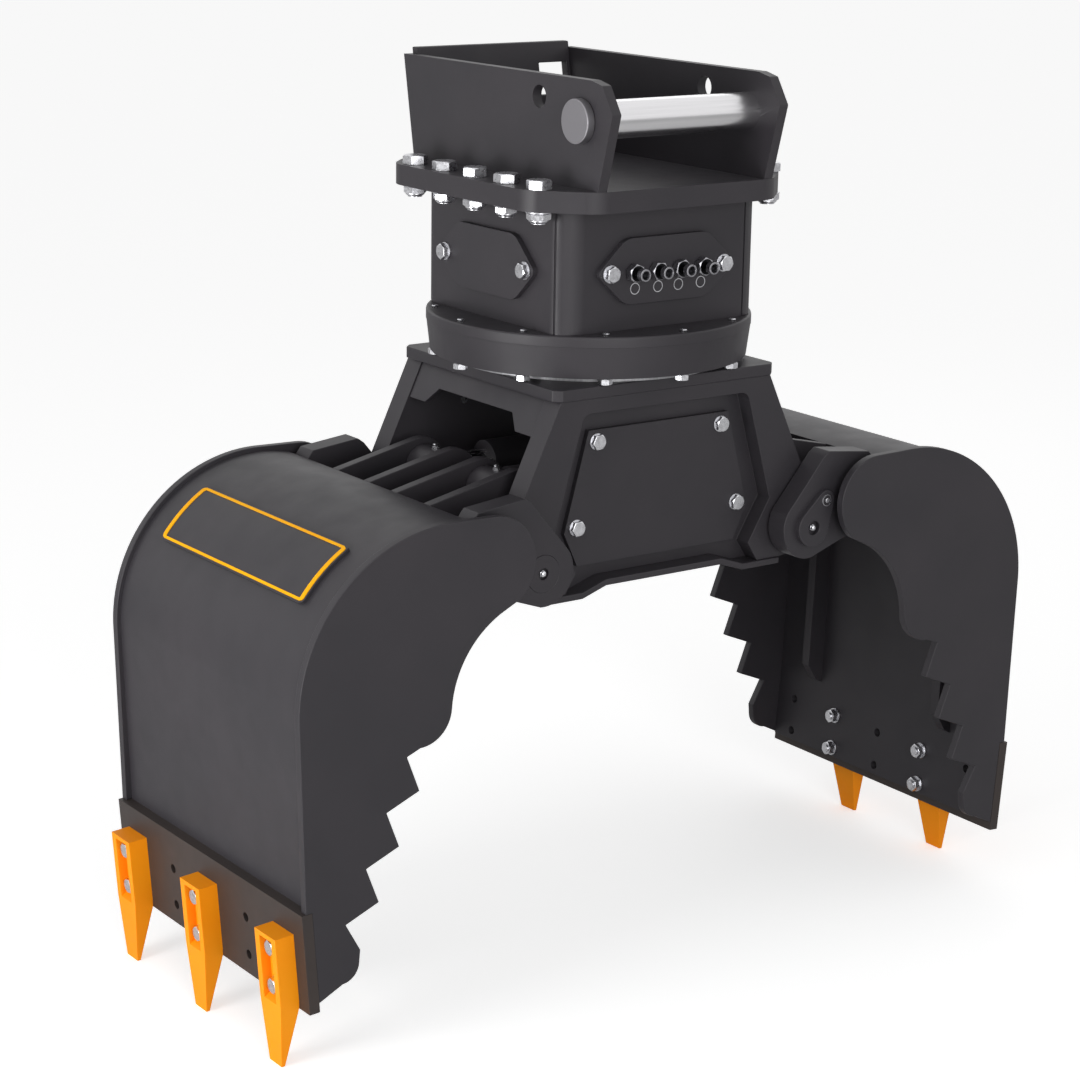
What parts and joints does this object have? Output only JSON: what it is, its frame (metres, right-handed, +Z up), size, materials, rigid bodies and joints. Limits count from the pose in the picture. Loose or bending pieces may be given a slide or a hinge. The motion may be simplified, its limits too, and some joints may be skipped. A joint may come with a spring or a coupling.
{
  "type": "sorting grapple",
  "caption": "Slewing sorting grapple with two toothed, saw-edged jaws closed by a pair of horizontal cylinders, and a pin-on adapter bracket.",
  "frame": {"origin": "under the slewing axis, at the level of the tooth tips with the jaws fully open", "axes": "+X along the opening direction towards the right jaw, +Y away from the port side, +Z up along the slewing axis"},
  "size_m": [1.2652, 0.5, 1.229],
  "materials": {
    "graphite_paint": "satin",
    "wear_steel": "satin",
    "orange_teeth": "satin",
    "zinc_fastener": "satin",
    "polished_steel": "polished",
    "dark_fitting": "satin",
    "machined_steel": "machined",
    "bronze": "machined"
  },
  "bodies": {
    "frame": {"frame_bottom_plate": "graphite_paint", "frame_cover_bolts": "zinc_fastener", "frame_cover_far": "graphite_paint", "frame_cover_near": "graphite_paint", "frame_end_left": "graphite_paint", "frame_end_right": "graphite_paint", "frame_hinge_bushes": "bronze", "frame_side_far": "graphite_paint", "frame_side_near": "graphite_paint", "frame_top_plate": "graphite_paint", "ring_inner_gear": "machined_steel", "union_core": "machined_steel"},
    "head": {"ring_outer": "graphite_paint", "ring_flange": "graphite_paint", "ring_screws": "zinc_fastener", "head_housing": "graphite_paint", "head_inspection_cover": "graphite_paint", "head_port_plate": "graphite_paint", "head_cover_screws": "zinc_fastener", "head_port_fittings": "dark_fitting", "slew_motor": "graphite_paint", "union_sleeve": "machined_steel", "head_top_plate": "graphite_paint", "bracket_plate": "graphite_paint", "bracket_ear_left": "graphite_paint", "bracket_ear_right": "graphite_paint", "bracket_cross_plate": "graphite_paint", "carrier_pin": "polished_steel", "bracket_bolts": "zinc_fastener", "bracket_nuts": "zinc_fastener"},
    "pinion": {"slew_pinion": "machined_steel"},
    "left_jaw": {"left_jaw_cutting_plate": "wear_steel", "left_jaw_hinge_lugs": "graphite_paint", "left_jaw_hinge_pins": "graphite_paint", "left_jaw_horn_ribs": "graphite_paint", "left_jaw_keeper": "graphite_paint", "left_jaw_rib_pins": "polished_steel", "left_jaw_shell": "graphite_paint", "left_jaw_side_far": "graphite_paint", "left_jaw_side_near": "graphite_paint", "left_jaw_teeth": "orange_teeth", "left_jaw_tooth_bolts": "zinc_fastener", "left_jaw_tooth_nuts": "zinc_fastener"},
    "right_jaw": {"right_jaw_cutting_plate": "wear_steel", "right_jaw_hinge_lugs": "graphite_paint", "right_jaw_hinge_pins": "graphite_paint", "right_jaw_horn_ribs": "graphite_paint", "right_jaw_keeper": "graphite_paint", "right_jaw_rib_pins": "polished_steel", "right_jaw_shell": "graphite_paint", "right_jaw_side_far": "graphite_paint", "right_jaw_side_near": "graphite_paint", "right_jaw_teeth": "orange_teeth", "right_jaw_tooth_bolts": "zinc_fastener", "right_jaw_tooth_nuts": "zinc_fastener"},
    "near_barrel": {"near_cylinder_barrel": "graphite_paint"},
    "near_rod": {"near_cylinder_rod": "polished_steel"},
    "far_barrel": {"far_cylinder_barrel": "graphite_paint"},
    "far_rod": {"far_cylinder_rod": "polished_steel"},
    "link": {"timing_link": "graphite_paint"}
  },
  "joints": [
    {"name": "slew", "type": "hinge", "parent": "frame", "child": "head", "pos_m": [0, 0, 0.85], "axis": [0, 0, 1], "continuous": true},
    {"name": "pinion_spin", "type": "hinge", "parent": "head", "child": "pinion", "pos_m": [0.115, 0, 0.85], "axis": [0, 0, 1], "continuous": true},
    {"name": "left_jaw_close", "type": "hinge", "parent": "frame", "child": "left_jaw", "pos_m": [-0.2268, 0, 0.5946], "axis": [0, -1, 0], "range_deg": [0, 54]},
    {"name": "right_jaw_close", "type": "hinge", "parent": "frame", "child": "right_jaw", "pos_m": [0.2268, 0, 0.5946], "axis": [0, 1, 0], "range_deg": [0, 54]},
    {"name": "near_barrel_eye", "type": "hinge", "parent": "left_jaw", "child": "near_barrel", "pos_m": [-0.202, 0, 0.6722], "axis": [0, 1, 0], "range_deg": [0, 54]},
    {"name": "far_rod_eye", "type": "hinge", "parent": "left_jaw", "child": "far_rod", "pos_m": [-0.202, 0, 0.6722], "axis": [0, 1, 0], "range_deg": [0, 54]},
    {"name": "near_rod_eye", "type": "hinge", "parent": "right_jaw", "child": "near_rod", "pos_m": [0.202, 0, 0.6722], "axis": [0, -1, 0], "range_deg": [0, 54]},
    {"name": "far_barrel_eye", "type": "hinge", "parent": "right_jaw", "child": "far_barrel", "pos_m": [0.202, 0, 0.6722], "axis": [0, -1, 0], "range_deg": [0, 54]},
    {"name": "link_eye", "type": "hinge", "parent": "left_jaw", "child": "link", "pos_m": [-0.2809, 0, 0.6258], "axis": [0, 1, 0], "range_deg": [0, 42.17]}
  ],
  "couplings": [
    {"joint": "pinion_spin", "follows": "slew", "ratio": -4.2857},
    {"joint": "right_jaw_close", "follows": "left_jaw_close", "ratio": 1},
    {"joint": "near_barrel_eye", "follows": "left_jaw_close", "ratio": 1},
    {"joint": "far_rod_eye", "follows": "left_jaw_close", "ratio": 1},
    {"joint": "near_rod_eye", "follows": "left_jaw_close", "ratio": 1},
    {"joint": "far_barrel_eye", "follows": "left_jaw_close", "ratio": 1},
    {"joint": "link_eye", "follows": "left_jaw_close", "ratio": 0.781}
  ]
}
